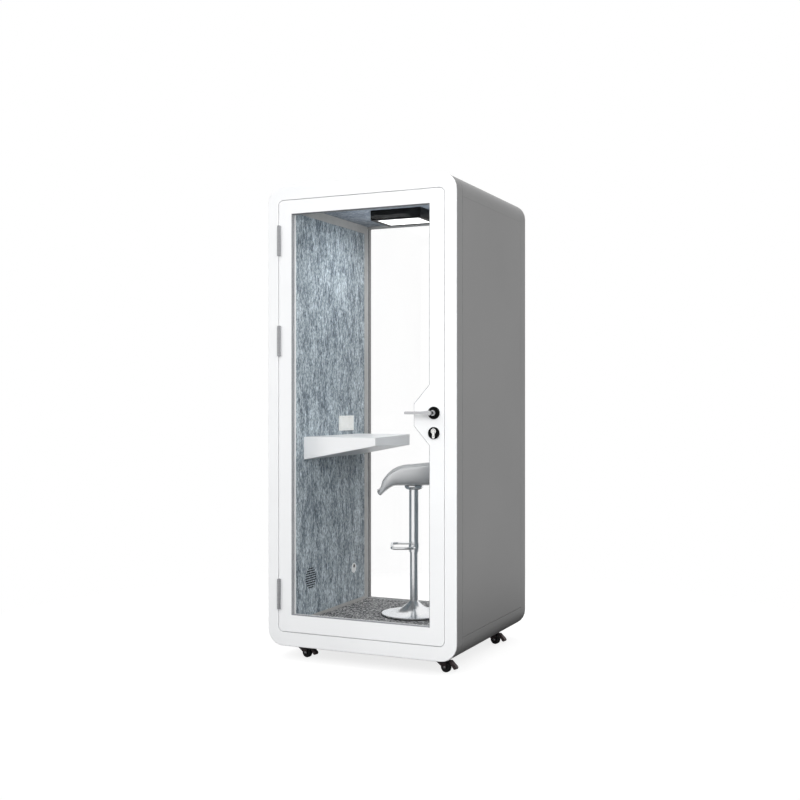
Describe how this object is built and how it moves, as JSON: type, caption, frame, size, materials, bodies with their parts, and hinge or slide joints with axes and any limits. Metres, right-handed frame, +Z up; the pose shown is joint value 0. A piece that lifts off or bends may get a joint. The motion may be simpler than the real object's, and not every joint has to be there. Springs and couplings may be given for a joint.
{
  "type": "acoustic office pod",
  "caption": "One-person acoustic office booth on casters, with a hinged glazed door, glazed back, felt-lined walls, ceiling lamp, wall desk and a height-adjustable swivel bar stool",
  "frame": {"origin": "on the floor under the middle of the bounding box, with the wheels standing on Z = 0", "axes": "+Z up, the door faces -Y, its hinges are on the -X side and its lock on the +X side; the desk is on the -X wall"},
  "size_m": [1, 1.058, 2.33],
  "materials": {
    "white_coat": "satin white powder coat",
    "grey_coat": "fine matt grey powder coat",
    "felt": "pressed acoustic felt with faint upright streaks",
    "grey_trim": "matt grey edge trim",
    "insulation": "mineral wool, hidden",
    "plywood": "raw plywood, hidden",
    "carpet": "short speckled loop pile",
    "clear_glass": "clear laminated glass",
    "black_coat": "satin black",
    "rubber": "black rubber",
    "opal": "opal diffuser, lit",
    "white_plastic": "white moulded plastic",
    "grey_plastic": "light grey moulded plastic",
    "steel": "satin steel",
    "satin_nickel": "satin nickel plate",
    "brown_steel": "dark brown-grey coat",
    "chrome": "bright chrome plate",
    "seat_plastic": "glossy light grey moulding"
  },
  "bodies": {
    "pod": {"front_frame": "white_coat", "desk_top": "white_coat", "front_hoop": "grey_coat", "rear_frame": "grey_coat", "roof_shell": "grey_coat", "base_shell": "grey_coat", "left_side_panel": "grey_coat", "right_side_panel": "grey_coat", "left_felt_panel": "felt", "right_felt_panel": "felt", "ceiling_felt_panel": "felt", "left_wall_trim": "grey_trim", "right_wall_trim": "grey_trim", "left_acoustic_core": "insulation", "right_acoustic_core": "insulation", "floor_board": "plywood", "carpet": "carpet", "rear_glass": "clear_glass", "lamp_housing": "black_coat", "fan_housing": "black_coat", "door_seal": "rubber", "lamp_diffuser": "opal", "switch_plate": "white_plastic", "cable_grommet": "grey_plastic", "hinge_post_lower": "steel", "hinge_post_middle": "steel", "hinge_post_upper": "steel", "strike_plate": "satin_nickel", "stool_base": "chrome"},
    "door": {"door_leaf": "white_coat", "door_glass": "clear_glass", "lock_case": "steel", "lock_cylinder": "satin_nickel", "outside_rose": "black_coat", "outside_escutcheon": "black_coat", "inside_backplate": "black_coat", "hinge_leaf_lower": "steel", "hinge_leaf_middle": "steel", "hinge_leaf_upper": "steel"},
    "handle": {"outside_lever": "satin_nickel", "inside_lever": "satin_nickel"},
    "latch": {"latch_bolt": "satin_nickel"},
    "bolt": {"deadbolt": "satin_nickel"},
    "thumbturn": {"thumbturn": "satin_nickel"},
    "fan_rotor": {"fan_rotor": "black_coat"},
    "light_rocker": {"light_switch_rocker": "white_plastic"},
    "fan_rocker": {"fan_switch_rocker": "white_plastic"},
    "stool_rod": {"gas_spring_rod": "steel"},
    "stool_top": {"stool_sleeve": "chrome", "stool_footrest": "chrome", "stool_seat": "seat_plastic"},
    "lift_lever": {"lift_lever": "chrome"},
    "fork_front_left": {"caster_fork_front_left": "brown_steel"},
    "wheel_front_left": {"caster_wheel_front_left": "rubber"},
    "fork_front_right": {"caster_fork_front_right": "brown_steel"},
    "wheel_front_right": {"caster_wheel_front_right": "rubber"},
    "fork_rear_left": {"caster_fork_rear_left": "brown_steel"},
    "wheel_rear_left": {"caster_wheel_rear_left": "rubber"},
    "fork_rear_right": {"caster_fork_rear_right": "brown_steel"},
    "wheel_rear_right": {"caster_wheel_rear_right": "rubber"}
  },
  "joints": [
    {"name": "door_hinge", "type": "hinge", "parent": "pod", "child": "door", "pos_m": [-0.4335, -0.4803, 1.2], "axis": [0, 0, -1], "range_deg": [0, 170]},
    {"name": "lever_turn", "type": "hinge", "parent": "door", "child": "handle", "pos_m": [0.39, -0.4415, 1.22], "axis": [0, -1, 0], "range_deg": [0, 45], "stiffness_Nm_per_rad": 2, "springref_deg": -34.38},
    {"name": "latch_slide", "type": "slide", "parent": "door", "child": "latch", "axis": [-1, 0, 0], "range_m": [0, 0.011]},
    {"name": "thumbturn_turn", "type": "hinge", "parent": "door", "child": "thumbturn", "pos_m": [0.39, -0.4415, 1.135], "axis": [0, -1, 0], "range_deg": [0, 90]},
    {"name": "deadbolt_slide", "type": "slide", "parent": "door", "child": "bolt", "axis": [1, 0, 0], "range_m": [0, 0.02]},
    {"name": "fan_spin", "type": "hinge", "parent": "pod", "child": "fan_rotor", "pos_m": [-0.43, -0.219, 0.37], "axis": [1, 0, 0], "continuous": true},
    {"name": "light_rocker_tilt", "type": "hinge", "parent": "pod", "child": "light_rocker", "pos_m": [-0.393, 0.127, 1.155], "axis": [0, 1, 0], "range_deg": [-4, 4], "stiffness_Nm_per_rad": 0.5},
    {"name": "fan_rocker_tilt", "type": "hinge", "parent": "pod", "child": "fan_rocker", "pos_m": [-0.393, 0.207, 1.155], "axis": [0, 1, 0], "range_deg": [-4, 4], "stiffness_Nm_per_rad": 0.5},
    {"name": "caster_swivel_front_left", "type": "hinge", "parent": "pod", "child": "fork_front_left", "pos_m": [-0.373, -0.353, 0.065], "axis": [0, 0, 1], "continuous": true},
    {"name": "wheel_roll_front_left", "type": "hinge", "parent": "fork_front_left", "child": "wheel_front_left", "pos_m": [-0.34149, -0.35856, 0.025], "axis": [0.1736, 0.9848, 0], "continuous": true},
    {"name": "caster_swivel_front_right", "type": "hinge", "parent": "pod", "child": "fork_front_right", "pos_m": [0.373, -0.353, 0.065], "axis": [0, 0, 1], "continuous": true},
    {"name": "wheel_roll_front_right", "type": "hinge", "parent": "fork_front_right", "child": "wheel_front_right", "pos_m": [0.40451, -0.35856, 0.025], "axis": [0.1736, 0.9848, 0], "continuous": true},
    {"name": "caster_swivel_rear_left", "type": "hinge", "parent": "pod", "child": "fork_rear_left", "pos_m": [-0.373, 0.327, 0.065], "axis": [0, 0, 1], "continuous": true},
    {"name": "wheel_roll_rear_left", "type": "hinge", "parent": "fork_rear_left", "child": "wheel_rear_left", "pos_m": [-0.34149, 0.32144, 0.025], "axis": [0.1736, 0.9848, 0], "continuous": true},
    {"name": "caster_swivel_rear_right", "type": "hinge", "parent": "pod", "child": "fork_rear_right", "pos_m": [0.373, 0.327, 0.065], "axis": [0, 0, 1], "continuous": true},
    {"name": "wheel_roll_rear_right", "type": "hinge", "parent": "fork_rear_right", "child": "wheel_rear_right", "pos_m": [0.40451, 0.32144, 0.025], "axis": [0.1736, 0.9848, 0], "continuous": true},
    {"name": "stool_lift", "type": "slide", "parent": "pod", "child": "stool_rod", "axis": [0, 0, 1], "range_m": [-0.2, 0]},
    {"name": "seat_swivel", "type": "hinge", "parent": "stool_rod", "child": "stool_top", "pos_m": [0.043, 0.082, 0.8], "axis": [0, 0, 1], "continuous": true},
    {"name": "lift_lever_tilt", "type": "hinge", "parent": "stool_top", "child": "lift_lever", "pos_m": [0.03257, 0.10472, 0.825], "axis": [0.9088, 0.4172, 0], "range_deg": [0, 6], "stiffness_Nm_per_rad": 2, "springref_deg": -5.73}
  ],
  "couplings": [
    {"joint": "latch_slide", "follows": "lever_turn", "m_per_rad": 0.014},
    {"joint": "deadbolt_slide", "follows": "thumbturn_turn", "m_per_rad": 0.01273}
  ]
}
